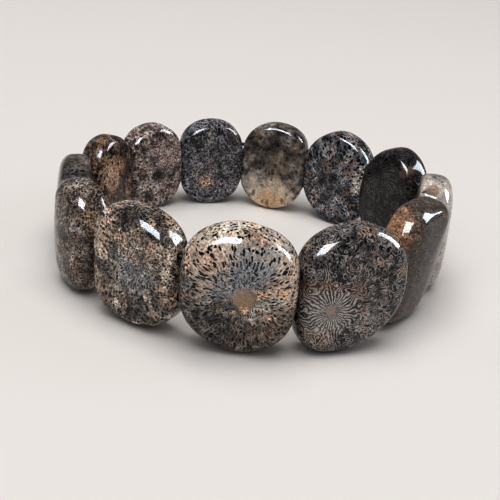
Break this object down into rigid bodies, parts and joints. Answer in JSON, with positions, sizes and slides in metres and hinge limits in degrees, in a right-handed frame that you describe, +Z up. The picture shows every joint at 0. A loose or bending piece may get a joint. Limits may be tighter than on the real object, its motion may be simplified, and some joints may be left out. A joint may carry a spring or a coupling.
{
  "type": "fossil coral bracelet",
  "caption": "Stretch bracelet of polished oval fossil coral stones standing edge to edge in a ring, threaded on two endless elastic cords.",
  "frame": {"origin": "middle of the ring's box, on the surface that the stones stand on", "axes": "+Z up along the ring's axis, -Y towards the largest stone at the front, +X across the ring to the right as seen from the front"},
  "size_m": [0.0832, 0.0794, 0.0256],
  "materials": {
    "sunburst_stone": "tan, grey and black fossil coral with dark pores in rays round a golden-tan centre; polished",
    "maze_stone": "charcoal fossil coral with fine pale winding ridges round a starry centre; polished",
    "umber_stone": "plain grey-brown outside, rich rust-brown with black flecks along one side; polished",
    "pale_stone": "pale translucent grey with a rusty patch and a dark vein; polished",
    "black_stone": "nearly black with fine grey needles; polished",
    "slate_stone": "dark bluish grey with black dots and small brown patches; polished",
    "honey_stone": "smoky dark above and translucent cream and honey below, with black streaks; polished",
    "midnight_stone": "near-black blue-grey with one tan spot; polished",
    "plum_stone": "dark purple-brown with pinkish-grey blotches; polished",
    "rust_stone": "brown-orange with black flecks and a darker streaky base; polished",
    "ribbed_stone": "dark grey with fine level ribs near the top; polished",
    "bark_stone": "dark grey-brown with fine bands and an orange-brown speckle; polished",
    "speckled_stone": "mottled grey with tan patches, black dots and light specks; polished",
    "elastic": "dark smooth stretch cord, slightly dull"
  },
  "bodies": {
    "root": {"sunburst_stone": "sunburst_stone", "maze_stone": "maze_stone", "umber_stone": "umber_stone", "pale_stone": "pale_stone", "black_stone": "black_stone", "slate_stone": "slate_stone", "honey_stone": "honey_stone", "midnight_stone": "midnight_stone", "plum_stone": "plum_stone", "rust_stone": "rust_stone", "ribbed_stone": "ribbed_stone", "bark_stone": "bark_stone", "speckled_stone": "speckled_stone", "upper_elastic": "elastic", "lower_elastic": "elastic"}
  },
  "joints": []
}
